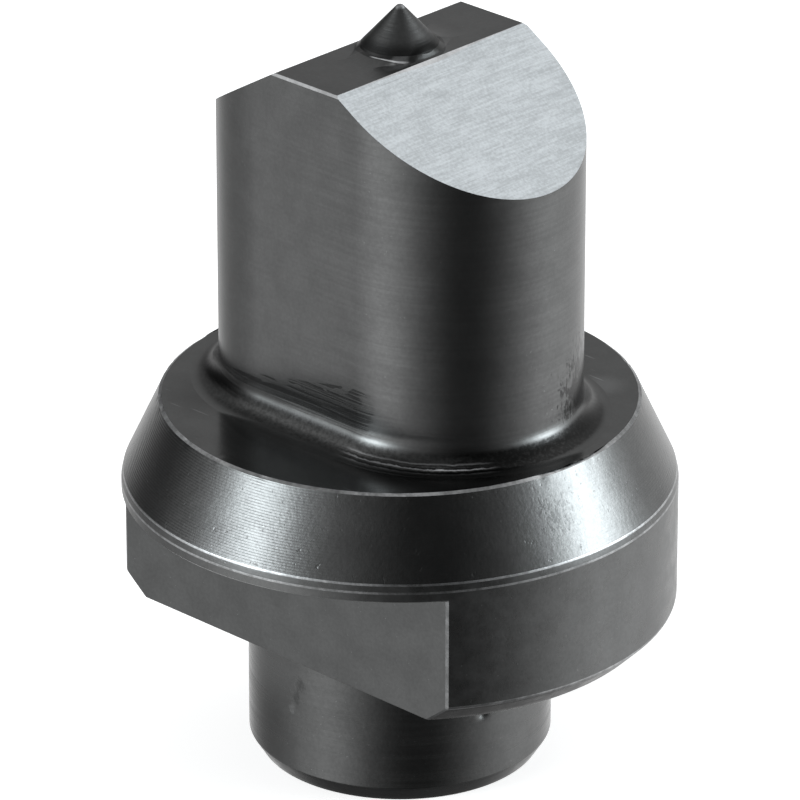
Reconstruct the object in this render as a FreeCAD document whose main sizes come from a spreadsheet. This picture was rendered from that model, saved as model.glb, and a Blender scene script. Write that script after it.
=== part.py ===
import FreeCAD, Part
import os
import Sketcher

# Oval punch in one piece of hardened tool steel, all lengths in mm.
# The origin lies on the turning axis, in the end face of the spigot, with +Z up along the axis.
# The long way of the oval runs along X, and the key flat of the flange faces -Y.
# From the bottom up: spigot, flange with its key flat, retaining cone, top face,
# oval shank, roof ground down to both round ends, and the centring nib on the strip between.

NODE = "oval_punch"

DRIVING_SIZES = (
    ("oval_length", 21.0, "long way of the hole that the punch cuts"),
    ("oval_width", 14.0, "short way of that hole, and the diameter of its round ends"),
    ("shank_height", 19.3, "from the top face of the flange to the strip"),
    ("foot_radius", 1.5, "hollow where the shank meets the top face"),
    ("strip_width", 4.4, "flat strip left across the middle of the roof"),
    ("roof_drop", 5.0, "from the strip down to the tips of the round ends"),
    ("nib_height", 2.4, "centring nib above the strip"),
    ("nib_half_angle", 42.0, "side of the nib from its axis, in degrees"),
    ("nib_tip_radius", 0.3, "ball at the point of the nib"),
    ("nib_foot_radius", 0.3, "hollow where the nib meets the strip"),
    ("shoulder_width", 2.1, "top face, from a round end of the oval to the cone"),
    ("cone_height", 4.4, "retaining cone, measured along the axis"),
    ("cone_run", 2.05, "retaining cone, measured across the axis on one side"),
    ("rim_height", 8.0, "from the seat to the foot of the cone"),
    ("rim_chamfer", 1.1, "lower edge of the rim"),
    ("lip_height", 0.75, "whole ring left above the key flat"),
    ("key_flat_distance", 8.8, "from the axis to the key flat"),
    ("spigot_diameter", 16.1, "spigot that locates the punch in its holder"),
    ("spigot_length", 7.8, "from the end face to the seat"),
    ("spigot_chamfer", 0.6, "lead-in at the end of the spigot, measured across the axis"),
    ("spigot_chamfer_height", 0.95, "the same lead-in, measured along the axis"),
    ("face_edge_break", 0.12, "edge between the top face and the cone"),
    ("rim_edge_break", 0.22, "edge between the cone and the rim"),
    ("top_edge_break", 0.12, "edge round the top of the shank, before the slopes are ground"),
)

# Radii, heights and slopes that follow from the driving sizes.
SPIGOT_RADIUS = "sizes.spigot_diameter / 2"
FACE_RADIUS = "(sizes.oval_length / 2 + sizes.shoulder_width)"
RIM_RADIUS = f"({FACE_RADIUS} + sizes.cone_run)"
SEAT_Z = "sizes.spigot_length"
CONE_FOOT_Z = f"({SEAT_Z} + sizes.rim_height)"
FACE_Z = f"({CONE_FOOT_Z} + sizes.cone_height)"
STRIP_Z = f"({FACE_Z} + sizes.shank_height)"
NIB_TOP_Z = f"({STRIP_Z} + sizes.nib_height)"
HALF_WIDTH = "sizes.oval_width / 2"
HALF_STRIP = "sizes.strip_width / 2"
END_CENTRE_X = "(sizes.oval_length - sizes.oval_width) / 2"
ROOF_FALL = f"sizes.roof_drop * ({FACE_RADIUS} - {HALF_STRIP}) / (sizes.oval_length / 2 - {HALF_STRIP})"

# How far one millimetre along the retaining cone's side goes across and along the axis,
# and where the breaks of its two edges end on that side.
CONE_SIDE = "sqrt(sizes.cone_run ^ 2 + sizes.cone_height ^ 2)"
CONE_ACROSS = f"sizes.cone_run / {CONE_SIDE}"
CONE_ALONG = f"sizes.cone_height / {CONE_SIDE}"
RIM_EDGE_X = f"{RIM_RADIUS} - sizes.rim_edge_break * {CONE_ACROSS}"
RIM_EDGE_Z = f"{CONE_FOOT_Z} + sizes.rim_edge_break * {CONE_ALONG}"
FACE_EDGE_X = f"{FACE_RADIUS} + sizes.face_edge_break * {CONE_ACROSS}"
FACE_EDGE_Z = f"{FACE_Z} - sizes.face_edge_break * {CONE_ALONG}"

# The nib's side line touches the ball at its tip, and meets the strip at the nib's foot.
NIB_BALL_X = "sizes.nib_tip_radius * cos(sizes.nib_half_angle)"
NIB_BALL_Z = f"({NIB_TOP_Z} - sizes.nib_tip_radius * (1 - sin(sizes.nib_half_angle)))"
NIB_FOOT_X = f"({NIB_BALL_X} + ({NIB_BALL_Z} - {STRIP_Z}) * tan(sizes.nib_half_angle))"

# The hollow at the shank's foot stays inside the top face.
FOOT_HOLLOW = "min(sizes.foot_radius; sizes.shoulder_width - 2 * sizes.face_edge_break)"

# How a sketch numbers its own origin, and the points of a side from 1 upwards.
SKETCH_ORIGIN = (-1, 1)
POINTS = {point: number for number, point in enumerate(("start", "end", "centre"), start=1)}
SAME_PLACE = 1e-4


def add_sizes(document):
    """Keeps every driving dimension in one sheet, each under its own alias."""
    sheet = document.addObject("Spreadsheet::Sheet", "sizes")
    for row, (alias, value, meaning) in enumerate(DRIVING_SIZES, start=1):
        sheet.set(f"A{row}", alias)
        sheet.set(f"B{row}", str(value))
        sheet.set(f"C{row}", meaning)
        sheet.setAlias(f"B{row}", alias)
    document.recompute()


def value_of(document, expression):
    """The present value of an expression in the sheet's aliases."""
    return float(document.sizes.evalExpression(expression))


def origin_plane(body, role):
    """One of the body's own origin planes."""
    return next(plane for plane in body.Origin.OriginFeatures if plane.Role == role)


def add_sketch(body, name, role, lift=None):
    """A sketch on an origin plane of the body, lifted along the plane's normal where lift is given."""
    sketch = body.newObject("Sketcher::SketchObject", name)
    sketch.AttachmentSupport = [(origin_plane(body, role), "")]
    sketch.MapMode = "FlatFace"
    if lift:
        sketch.setExpression("AttachmentOffset.Base.z", lift)
    return sketch


def pin(sketch, element, point, kind, expression):
    """Holds a point of the sketch at a distance from its origin."""
    start_value = value_of(sketch.Document, expression)
    constraint = Sketcher.Constraint(kind, *SKETCH_ORIGIN, element, point, start_value)
    index = sketch.addConstraint(constraint)
    sketch.setExpression(f"Constraints[{index}]", expression)


def place_of(document, point):
    """Where a point given by two expressions lies now."""
    return FreeCAD.Vector(value_of(document, point[0]), value_of(document, point[1]), 0)


def add_outline(sketch, corners, arcs=None):
    """A closed outline through the corners.

    Its sides are straight, apart from those named in arcs by the number of the corner where they start:
    arcs gives for each a point on the way and the one coordinate of its centre that its ends leave open.
    """
    arcs = arcs or {}
    document = sketch.Document
    places = [place_of(document, corner) for corner in corners]
    sides = []
    for number, start in enumerate(places):
        finish = places[(number + 1) % len(places)]
        curve = Part.LineSegment(start, finish)
        if number in arcs:
            curve = Part.Arc(start, place_of(document, arcs[number][0]), finish)
        sides.append(sketch.addGeometry(curve, False))
    first_points = [matching_end(sketch, side, place) for side, place in zip(sides, places)]
    for number, side in enumerate(sides):
        following = (number + 1) % len(sides)
        last_point = POINTS["end"] if first_points[number] == POINTS["start"] else POINTS["start"]
        joint = Sketcher.Constraint("Coincident", side, last_point, sides[following], first_points[following])
        sketch.addConstraint(joint)
        pin(sketch, side, first_points[number], "DistanceX", corners[number][0])
        pin(sketch, side, first_points[number], "DistanceY", corners[number][1])
        if number in arcs:
            kind, expression = arcs[number][1]
            pin(sketch, side, POINTS["centre"], kind, expression)


def matching_end(sketch, side, place):
    """Which end of a side lies at the place: an arc may be stored the other way round."""
    starts_there = sketch.getPoint(side, POINTS["start"]).distanceToPoint(place) < SAME_PLACE
    return POINTS["start"] if starts_there else POINTS["end"]


def edge_names(shape, wanted):
    """The names of the shape's edges that pass the test."""
    return [f"Edge{number}" for number, edge in enumerate(shape.Edges, start=1) if wanted(edge)]


def lies_at_height(edge, height, reach=None):
    """Whether the whole edge lies at one height, and where reach is given no further out than that."""
    box = edge.BoundBox
    level = abs(box.ZMin - height) < SAME_PLACE and abs(box.ZMax - height) < SAME_PLACE
    return level and (reach is None or max(-box.XMin, box.XMax) < reach + SAME_PLACE)


def turn_about_axis(body, sketch, name):
    """Turns an outline once round the upright axis of its sketch."""
    turned = body.newObject("PartDesign::Revolution", name)
    turned.Profile = sketch
    turned.ReferenceAxis = (sketch, ["V_Axis"])
    turned.Angle = 360
    body.Document.recompute()
    return turned


def hollow_out(body, base, name, edges, radius):
    """A concave fillet along the named edges of the base."""
    hollow = body.newObject("PartDesign::Fillet", name)
    hollow.Base = (base, edges)
    hollow.setExpression("Radius", radius)
    body.Document.recompute()
    return hollow


def add_turned_blank(body):
    """Spigot, flange and retaining cone, turned as one outline about the axis."""
    sketch = add_sketch(body, "turned_outline", "XZ_Plane")
    add_outline(sketch, (
        ("0", "0"),
        (f"{SPIGOT_RADIUS} - sizes.spigot_chamfer", "0"),
        (SPIGOT_RADIUS, "sizes.spigot_chamfer_height"),
        (SPIGOT_RADIUS, SEAT_Z),
        (f"{RIM_RADIUS} - sizes.rim_chamfer", SEAT_Z),
        (RIM_RADIUS, f"{SEAT_Z} + sizes.rim_chamfer"),
        (RIM_RADIUS, f"{CONE_FOOT_Z} - sizes.rim_edge_break"),
        (RIM_EDGE_X, RIM_EDGE_Z),
        (FACE_EDGE_X, FACE_EDGE_Z),
        (f"{FACE_RADIUS} - sizes.face_edge_break", FACE_Z),
        ("0", FACE_Z),
    ))
    turn_about_axis(body, sketch, "turned_blank")


def add_key_flat(body):
    """The flat milled on the rim, from the seat up to the underside of the lip."""
    beyond_rim = f"({RIM_RADIUS} + sizes.rim_chamfer)"
    sketch = add_sketch(body, "key_flat_outline", "XY_Plane", lift=SEAT_Z)
    add_outline(sketch, (
        (f"-{beyond_rim}", f"-{beyond_rim}"),
        (beyond_rim, f"-{beyond_rim}"),
        (beyond_rim, "-sizes.key_flat_distance"),
        (f"-{beyond_rim}", "-sizes.key_flat_distance"),
    ))
    flat = body.newObject("PartDesign::Pocket", "key_flat")
    flat.Profile = sketch
    flat.Type = "Length"
    flat.Reversed = True
    flat.setExpression("Length", "sizes.rim_height - sizes.lip_height")
    body.Document.recompute()


def add_oval_shank(body):
    """The shank: two flats joined by half circles, standing on the top face."""
    far_end = f"({END_CENTRE_X} + {HALF_WIDTH})"
    sketch = add_sketch(body, "oval_outline", "XY_Plane", lift=FACE_Z)
    corners = (
        (f"-{END_CENTRE_X}", f"-{HALF_WIDTH}"),
        (END_CENTRE_X, f"-{HALF_WIDTH}"),
        (END_CENTRE_X, HALF_WIDTH),
        (f"-{END_CENTRE_X}", HALF_WIDTH),
    )
    arcs = {
        1: ((far_end, "0"), ("DistanceX", END_CENTRE_X)),
        3: ((f"-{far_end}", "0"), ("DistanceX", f"-{END_CENTRE_X}")),
    }
    add_outline(sketch, corners, arcs)
    shank = body.newObject("PartDesign::Pad", "oval_shank")
    shank.Profile = sketch
    shank.Type = "Length"
    shank.setExpression("Length", "sizes.shank_height")
    body.Document.recompute()
    return shank


def add_foot_hollow(body, shank):
    """The hollow all round the shank's foot."""
    document = body.Document
    face_height = value_of(document, FACE_Z)
    oval_reach = value_of(document, "sizes.oval_length / 2")
    edges = edge_names(shank.Shape, lambda edge: lies_at_height(edge, face_height, oval_reach))
    return hollow_out(body, shank, "foot_hollow", edges, FOOT_HOLLOW)


def add_centring_nib(body):
    """The turned nib in the middle of the strip: a cone with a ball at its point."""
    sketch = add_sketch(body, "nib_outline", "XZ_Plane")
    corners = (
        ("0", STRIP_Z),
        (NIB_FOOT_X, STRIP_Z),
        (NIB_BALL_X, NIB_BALL_Z),
        ("0", NIB_TOP_Z),
    )
    half_way = "((90 + sizes.nib_half_angle) / 2)"
    on_ball = (
        f"sizes.nib_tip_radius * cos{half_way}",
        f"{NIB_TOP_Z} - sizes.nib_tip_radius * (1 - sin{half_way})",
    )
    add_outline(sketch, corners, {2: (on_ball, ("DistanceX", "0"))})
    return turn_about_axis(body, sketch, "centring_nib")


def add_nib_hollow(body, nib):
    """The hollow round the nib's foot."""
    document = body.Document
    strip_height = value_of(document, STRIP_Z)
    nib_reach = value_of(document, NIB_FOOT_X)
    edges = edge_names(nib.Shape, lambda edge: lies_at_height(edge, strip_height, nib_reach))
    hollow_out(body, nib, "nib_hollow", edges, "sizes.nib_foot_radius")


def add_roof_slopes(body):
    """Both roof slopes, each ground away from the edge of the strip out past the round end."""
    sketch = add_sketch(body, "roof_slope_outline", "XZ_Plane")
    add_outline(sketch, (
        (HALF_STRIP, STRIP_Z),
        (FACE_RADIUS, f"{STRIP_Z} - {ROOF_FALL}"),
        (FACE_RADIUS, NIB_TOP_Z),
        (HALF_STRIP, NIB_TOP_Z),
    ))
    slope = body.newObject("PartDesign::Pocket", "roof_slope")
    slope.Profile = sketch
    slope.SideType = "Symmetric"
    slope.Type = "ThroughAll"
    body.Document.recompute()
    slopes = body.newObject("PartDesign::Mirrored", "roof_slopes")
    slopes.Originals = [slope]
    slopes.MirrorPlane = (origin_plane(body, "YZ_Plane"), [""])
    body.Tip = slopes
    body.Document.recompute()


def add_top_edge_break(body, shank):
    """The break round the shank's top, which the slopes later leave only beside the strip."""
    strip_height = value_of(body.Document, STRIP_Z)
    chamfer = body.newObject("PartDesign::Chamfer", "top_edge")
    chamfer.Base = (shank, edge_names(shank.Shape, lambda edge: lies_at_height(edge, strip_height)))
    chamfer.setExpression("Size", "sizes.top_edge_break")
    body.Document.recompute()


def add_punch(document):
    """The whole punch, in the order in which it is turned, milled and ground."""
    body = document.addObject("PartDesign::Body", NODE)
    body.Label = NODE
    add_turned_blank(body)
    add_key_flat(body)
    shank = add_oval_shank(body)
    hollow = add_foot_hollow(body, shank)
    add_top_edge_break(body, hollow)
    nib = add_centring_nib(body)
    add_nib_hollow(body, nib)
    add_roof_slopes(body)
    body.Placement = FreeCAD.Placement()
    return body


def check_document(document):
    """Stops where an object of the document has failed, or a cut has removed nothing."""
    for item in document.Objects:
        if "Invalid" in item.State or "Error" in item.State:
            raise RuntimeError(f"{item.Name} failed: {item.State}")
    for name in ("key_flat", "roof_slope", "roof_slopes", "top_edge"):
        feature = document.getObject(name)
        if not feature.Shape.Volume < feature.BaseFeature.Shape.Volume:
            raise RuntimeError(f"{name} removed nothing")


def write_body(body):
    """Writes the finished solid to a file named after its node."""
    shape = body.Shape
    if shape.isNull() or not shape.isValid():
        raise RuntimeError(f"{body.Label} has no valid shape")
    os.makedirs("parts", exist_ok=True)
    shape.exportStep(f"parts/{body.Label}.step")
    box = shape.BoundBox
    print(body.Label, "solids", len(shape.Solids), "volume", round(shape.Volume, 3))
    print("box", [round(side, 3) for side in (box.XMin, box.YMin, box.ZMin, box.XMax, box.YMax, box.ZMax)])


def main():
    document = FreeCAD.newDocument("oval_punch_model")
    add_sizes(document)
    punch = add_punch(document)
    document.recompute()
    check_document(document)
    write_body(punch)


main()
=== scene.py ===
"""Looks of the oval punch: its machined surfaces and edges, their finishes, and a plain studio around it.

Lengths are in metres and angles in radians, and inside the materials places and reliefs are in
millimetres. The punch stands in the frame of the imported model: its turning axis is Z, the long way
of its oval runs along X, and its key flat faces -Y.
"""

import math
from collections import namedtuple

import bmesh
import bpy
import numpy as np
from mathutils import Matrix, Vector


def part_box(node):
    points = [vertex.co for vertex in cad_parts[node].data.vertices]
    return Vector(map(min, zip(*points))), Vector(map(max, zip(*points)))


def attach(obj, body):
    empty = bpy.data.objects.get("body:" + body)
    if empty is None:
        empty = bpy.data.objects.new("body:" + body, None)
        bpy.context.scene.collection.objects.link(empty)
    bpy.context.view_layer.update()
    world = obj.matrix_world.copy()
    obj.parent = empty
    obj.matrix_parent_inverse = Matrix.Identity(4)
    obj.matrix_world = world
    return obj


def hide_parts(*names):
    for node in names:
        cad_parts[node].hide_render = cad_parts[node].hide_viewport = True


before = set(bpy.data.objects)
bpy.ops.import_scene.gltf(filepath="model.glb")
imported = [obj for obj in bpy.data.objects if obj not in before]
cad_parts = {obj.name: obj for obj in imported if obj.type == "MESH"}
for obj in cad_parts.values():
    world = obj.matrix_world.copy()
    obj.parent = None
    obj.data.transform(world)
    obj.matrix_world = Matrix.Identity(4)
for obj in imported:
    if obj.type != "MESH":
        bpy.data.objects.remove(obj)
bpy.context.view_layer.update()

bl_info = {
    "name": "Oval punch",
    "version": (1, 0, 0),
    "blender": (4, 5, 0),
    "location": "3D View > Sidebar > Punch",
    "description": "Makes the machined surfaces and finishes of an oval punch, and a studio around it",
    "category": "Object",
}

NODE = "oval_punch"
BODY = "root"
MM = 0.001
LOW_CORNER, HIGH_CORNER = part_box(NODE)
REACH = min(-LOW_CORNER.x, -LOW_CORNER.y, HIGH_CORNER.x, HIGH_CORNER.y)


def length(name, description, millimetres):
    """A property for a length, whose default is given in millimetres."""
    return bpy.props.FloatProperty(
        name=name, description=description, default=millimetres * MM, min=0.0, precision=5, unit="LENGTH")


def angle(name, description, degrees):
    """A property for an angle, whose default is given in degrees."""
    return bpy.props.FloatProperty(
        name=name, description=description, default=math.radians(degrees), subtype="ANGLE")


def amount(name, description, value):
    """A property for a plain number."""
    return bpy.props.FloatProperty(name=name, description=description, default=value, min=0.0, precision=4)


def colour(name, description, value):
    """A property for a colour."""
    return bpy.props.FloatVectorProperty(
        name=name, description=description, default=value, size=3, min=0.0, max=1.0, subtype="COLOR")


class PunchSizes(bpy.types.PropertyGroup):
    """Sizes of the punch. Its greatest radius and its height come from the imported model."""

    height: length("Height", "From the end face to the point of the nib", HIGH_CORNER.z / MM)
    rim_radius: length("Rim radius", "From the axis to the rim of the flange", REACH / MM)
    oval_length: length("Oval length", "Long way of the shank", 21.0)
    oval_width: length("Oval width", "Short way of the shank, and the diameter of its round ends", 14.0)
    foot_radius: length("Foot radius", "Hollow where the shank meets the top face", 1.5)
    strip_width: length("Strip width", "Flat strip across the middle of the roof", 4.4)
    roof_drop: length("Roof drop", "From the strip down to the tips of the round ends", 5.0)
    nib_height: length("Nib height", "Centring nib above the strip", 2.4)
    nib_half_angle: angle("Nib half angle", "Side of the nib from its axis", 42.0)
    nib_tip_radius: length("Nib tip radius", "Ball at the point of the nib", 0.3)
    nib_foot_radius: length("Nib foot radius", "Hollow where the nib meets the strip", 0.3)
    cone_height: length("Cone height", "Retaining cone along the axis", 4.4)
    cone_run: length("Cone run", "Retaining cone across the axis, on one side", 2.05)
    rim_height: length("Rim height", "From the seat to the foot of the cone", 8.0)
    rim_chamfer: length("Rim chamfer", "Lower edge of the rim", 1.1)
    lip_height: length("Lip height", "Whole ring left above the key flat", 0.75)
    key_flat_distance: length("Key flat distance", "From the axis to the key flat", 8.8)
    spigot_diameter: length("Spigot diameter", "Spigot under the flange", 16.1)
    spigot_length: length("Spigot length", "From the end face to the seat", 7.8)
    spigot_chamfer: length("Spigot chamfer", "Lead-in at the end of the spigot, across the axis", 0.6)
    spigot_chamfer_height: length("Spigot chamfer height", "The same lead-in, along the axis", 0.95)
    face_edge_break: length("Face edge break", "Edge between the top face and the cone", 0.12)
    rim_edge_break: length("Rim edge break", "Edge between the cone and the rim", 0.22)
    top_edge_break: length("Top edge break", "Edges of the strip over both flats of the shank", 0.12)
    flat_edge_break: length("Key flat edge break", "Upright edges of the key flat", 0.1)
    small_edge: length("Small edges", "Rounding of the other edges", 0.06)
    column_spacing: angle("Column spacing", "Turn from one column of the surface to the next", 0.8)


class PunchFinish(bpy.types.PropertyGroup):
    """Colours and textures of the punch's surfaces."""

    oxide: colour("Oxide", "Blackened steel", (0.108, 0.11, 0.11))
    # Bare steel also paints highlights and glint lines.
    bare: colour("Bare steel", "Steel where the oxide has worn off an edge", (0.5, 0.51, 0.52))
    ground: colour("Ground steel", "Steel of the ground slopes", (0.535, 0.57, 0.592))
    turned_roughness: amount("Turned roughness", "Roughness of the turned surfaces", 0.3)
    shank_roughness: amount("Shank roughness", "Roughness of the shank", 0.27)
    face_roughness: amount("Face roughness", "Roughness of the flange's top face", 0.16)
    ground_roughness: amount("Ground roughness", "Roughness of the ground slopes", 0.42)
    groove_pitch: length("Groove pitch", "From one groove of the cone to the next, along the axis", 0.13318)
    groove_depth: length("Groove depth", "Depth of the turned grooves on the cone", 0.005)


class PunchStudio(bpy.types.PropertyGroup):
    """Camera and light."""

    camera_azimuth: angle("Camera azimuth", "From the -Y side round towards +X", 43.712)
    camera_elevation: angle("Camera elevation", "Above the horizon", 24.653)
    camera_distance: length("Camera distance", "From the camera to the point it looks at", 367.05)
    aim_height: length("Aim height", "Height of that point on the axis", 19.675)
    focal_length: amount("Focal length", "In millimetres, on a sensor 36 mm wide", 315.69)
    floor_radius: length("Floor radius", "Half the floor's side", 900.0)
    floor_gap: length("Floor gap", "A hair between the floor and the end face", 0.01)
    floor_lift: amount("Floor lift", "Light added to the floor where it is seen directly", 0.7)


# A corner of a profile: its place, the width of its edge, the rows that lead to it, and both finishes.
Corner = namedtuple("Corner", "radius height edge rows finish edge_finish", defaults=("edge",))
# A grid of points, row by row from the end face up, and its finish.
Patch = namedtuple("Patch", "grid finish")

# Shares of bare steel on the edges, the least and the most. The edges are worn, and the shares are raised so
# that they also carry painted glint lines.
WORN_AND_GLINT_EDGES = {
    "face_edge": (0.25, 0.9),
    "rim_edge": (0.35, 1.0),
    "key_edge": (0.1, 0.42),
    "lip_edge": (0.5, 1.0),
    "roof_edge": (0.6, 1.0),
    "edge": (0.15, 0.7),
}
# Finishes, in the order of the piece's material slots.
FINISHES = (
    "turned", "chamfer", "spigot", "lead_in", "cone", "milled", "face", "shank", "ground", "strip", "nib",
    *WORN_AND_GLINT_EDGES,
)

# The Mix node's sockets for colours: first, last and result.
FIRST_COLOUR, LAST_COLOUR, MIXED_COLOUR = 6, 7, 2
# Less than any real length or angle.
TINY = 1e-9
# Points nearer than this are one point.
MERGE_DISTANCE = 2e-7
# An edge shorter than this is taken out.
LEAST_EDGE = 1e-8
# Faces that meet at more than this angle keep a sharp edge between them.
SHARP_ANGLE = math.radians(16)
FRONT, BACK = -math.pi / 2, math.pi / 2
# Points of the short curve at a corner.
CURVE_POINTS = 4
# How far the closely set rows reach beyond the foot's hollow, and up from the top face.
ZONE_BESIDE_FOOT = 0.6 * MM
ZONE_OVER_FACE = 3.0 * MM
# From the sides of the strip in to the circles of the nib's grid.
NIB_GRID_MARGIN = 0.1 * MM

# The nick in the spigot: its direction about the axis, height, reach and depth.
Nick = namedtuple("Nick", "direction height reach depth")
NICK = Nick(math.radians(-13.6), 4.7 * MM, 0.27 * MM, 0.13 * MM)
# Chips in the edge of the top face: half widths in degrees, and depths as shares of the edge's break.
CHIP_SEED = 11
CHIP_COUNT = 46
CHIP_WIDTHS = (0.5, 1.1)
CHIP_DEPTHS = (0.1, 0.4)

# Scuffs on the front of the spigot: place across and along the axis and reach in millimetres,
# share of the other colour, and whether it is bare steel. All are stretched along the axis.
Scuff = namedtuple("Scuff", "x z reach share bare")
SCUFFS = (
    Scuff(0.45, 6.0, 0.36, 0.55, False),
    Scuff(0.15, 5.2, 0.32, 0.5, False),
    Scuff(-0.1, 4.5, 0.26, 0.6, True),
)
SCUFF_STRETCH = 1.4
SCUFF_TONE = 0.35
# The direction across the spigot from its side with painted light and shade to its plain one.
SPIGOT_PAINTED_ACROSS = (0.72, 0.69)
# The painted highlight arc at the nib's foot: direction from the -Y side round towards +X, and radius in
# millimetres.
ARC_DIRECTION = math.radians(28)
ARC_RADIUS = 2.24
# The painted reflection on the strip in front of the nib: middle and half widths, in millimetres.
PaintedSmear = namedtuple("PaintedSmear", "x y half_x half_y")
PAINTED_SMEAR = PaintedSmear(1.6, -1.9, 0.5, 0.9)
# Middle of the dark flecks on the shank and its height over the top face, in millimetres.
FLECKS = (9.5, 3.6)
FLECKS_ABOVE = 2.2
# Middles of the painted shade near the shank's foot and of the painted highlight on the top face, in
# millimetres.
FACE_SHADE_MIDDLE = (-6.6, -6.8)
GLEAM = (7.1, 7.8)
# From one ridge to the next in the front of the foot's hollow, in millimetres.
RIDGE_PITCH = 0.26
# Middle of the dark blotches on the cone, in millimetres.
BLOTCH = (13.2, -2.5, 18.3)


class Form:
    """Radii, heights and directions that follow from the sizes."""

    def __init__(self, sizes):
        self.sizes = sizes
        self.strip_z = sizes.height - sizes.nib_height
        self.spigot_radius = sizes.spigot_diameter / 2
        self.seat_z = sizes.spigot_length
        self.cone_foot_z = self.seat_z + sizes.rim_height
        self.face_z = self.cone_foot_z + sizes.cone_height
        self.lip_z = self.cone_foot_z - sizes.lip_height
        self.face_radius = sizes.rim_radius - sizes.cone_run
        self.half_width = sizes.oval_width / 2
        self.end_centre = (sizes.oval_length - sizes.oval_width) / 2
        self.half_strip = sizes.strip_width / 2
        self.slope = sizes.roof_drop / (sizes.oval_length / 2 - self.half_strip)
        self.wall_top_z = self.strip_z - sizes.top_edge_break
        self.wall_top_x = self.half_strip + sizes.top_edge_break / self.slope
        side = math.hypot(sizes.cone_run, sizes.cone_height)
        self.cone_across = sizes.cone_run / side
        self.cone_along = sizes.cone_height / side


def oval_reach(angles, end_radius, end_centre):
    """Distance from the axis to the oval's outline in each direction.

    The outline has straight sides at y = +-end_radius and half circles about x = +-end_centre.
    A ray meets a straight side at end_radius / |sin|, where x there is within end_centre, and
    otherwise the half circle at end_centre |cos| + sqrt(end_radius^2 - (end_centre sin)^2).
    """
    sine, cosine = np.abs(np.sin(angles)), np.abs(np.cos(angles))
    side = end_radius / np.maximum(sine, TINY)
    end = end_centre * cosine + np.sqrt(np.maximum(end_radius ** 2 - (end_centre * sine) ** 2, 0.0))
    return np.where(side * cosine <= end_centre, side, end)


def flat_corner(radius, distance, edge_break):
    """The broken corner between a flat and a circle, as angles from the flat's own direction.

    The corner lies at acos(distance / radius). The break is a straight line whose direction is
    half of that angle, cut back by edge_break times the sine of that half.
    Returns the angles where the break meets the flat and the circle, its direction and its distance.
    """
    corner = math.acos(distance / radius)
    direction = corner / 2
    reach = radius * math.cos(corner - direction) - edge_break * math.sin(direction)
    on_flat_x = (reach - distance * math.cos(direction)) / math.sin(direction)
    return math.atan2(on_flat_x, distance), direction + math.acos(reach / radius), direction, reach


def spread_between(knots, spacing, dense, dense_count):
    """Angles from the first knot up to the last, even between knots, with dense_count in each dense gap."""
    parts = []
    for number, (start, end) in enumerate(zip(knots[:-1], knots[1:])):
        count = dense_count if number in dense else max(1, round((end - start) / spacing))
        parts.append(np.linspace(start, end, count, endpoint=False))
    return np.concatenate(parts)


class Columns:
    """The columns that run up over the whole punch, as angles about the axis.

    Columns lie exactly on the upright edges of the key flat, on the joints between the shank's flats
    and its round ends, and on the corners of the strip. A ring where one of those edges lies at
    another angle moves its columns there, in proportion between the fixed ones. These fixed ones
    are the knots. Counted from the -X side, 1, 2, 7 and 8 are the key flat's edges, 3, 6, 9 and 12
    the joints, and 4, 5, 10 and 11 the corners of the strip.
    """

    def __init__(self, form):
        sizes = form.sizes
        self.form = form
        on_flat, on_rim, _, _ = flat_corner(sizes.rim_radius, sizes.key_flat_distance, sizes.flat_edge_break)
        joint = math.atan2(form.end_centre, form.half_width)
        strip = math.atan2(form.wall_top_x, form.half_width)
        self.knots = np.array([
            -math.pi, FRONT - on_rim, FRONT - on_flat, FRONT - joint, FRONT - strip,
            FRONT + strip, FRONT + joint, FRONT + on_flat, FRONT + on_rim,
            BACK - joint, BACK - strip, BACK + strip, BACK + joint, math.pi,
        ])
        self.angles = spread_between(self.knots, sizes.column_spacing, dense=(1, 7), dense_count=4)

    def moved(self, changes):
        """The column angles where the numbered knots lie at the given angles."""
        knots = self.knots.copy()
        for number, place in changes.items():
            knots[number] = place
        return np.interp(self.angles, self.knots, knots)

    def between(self, first_knot, last_knot):
        """The numbers of the columns from one knot to another, both ends included."""
        first = np.searchsorted(self.angles, self.knots[first_knot] - TINY)
        last = np.searchsorted(self.angles, self.knots[last_knot] - TINY)
        if last < first:
            last += len(self.angles)
        return np.arange(first, last + 1) % len(self.angles)


def ring(angles, radii, heights):
    """Points at these angles, radii and heights about the axis."""
    radii, heights = np.broadcast_to(radii, angles.shape), np.broadcast_to(heights, angles.shape)
    return np.stack([radii * np.cos(angles), radii * np.sin(angles), heights], axis=-1)


def keyed_ring(columns, radius, height):
    """A ring of the rim that the key flat cuts, with its broken upright edges.

    In each direction its radius is the least of the circle's, of the flat's distance / cos and
    of each break's distance / cos, all measured from the direction of that line.
    The flat is rounded back by a quarter circle where it meets the seat.
    """
    form = columns.form
    sizes = form.sizes
    above_seat = min(height - form.seat_z, sizes.small_edge)
    rounding = sizes.small_edge - math.sqrt(sizes.small_edge ** 2 - (sizes.small_edge - above_seat) ** 2)
    distance = sizes.key_flat_distance - rounding
    on_flat, on_rim, direction, reach = flat_corner(radius, distance, sizes.flat_edge_break)
    angles = columns.moved({
        1: FRONT - on_rim, 2: FRONT - on_flat, 7: FRONT + on_flat, 8: FRONT + on_rim,
    })
    turned = np.abs(angles - FRONT)
    in_front = turned < math.pi / 2
    to_flat = np.where(in_front, distance / np.maximum(np.cos(turned), TINY), np.inf)
    to_break = np.where(in_front, reach / np.maximum(np.cos(turned - direction), TINY), np.inf)
    return ring(angles, np.minimum(radius, np.minimum(to_flat, to_break)), height)


def oval_ring(columns, end_radius, height):
    """A ring round the shank, or round an oval that lies evenly outside it."""
    reach = oval_reach(columns.angles, end_radius, columns.form.end_centre)
    return ring(columns.angles, reach, height)


def oval_rings(columns, end_radii, heights):
    """Rings round the shank at these end radii and heights."""
    return np.stack([oval_ring(columns, radius, height) for radius, height in zip(end_radii, heights)])


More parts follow.
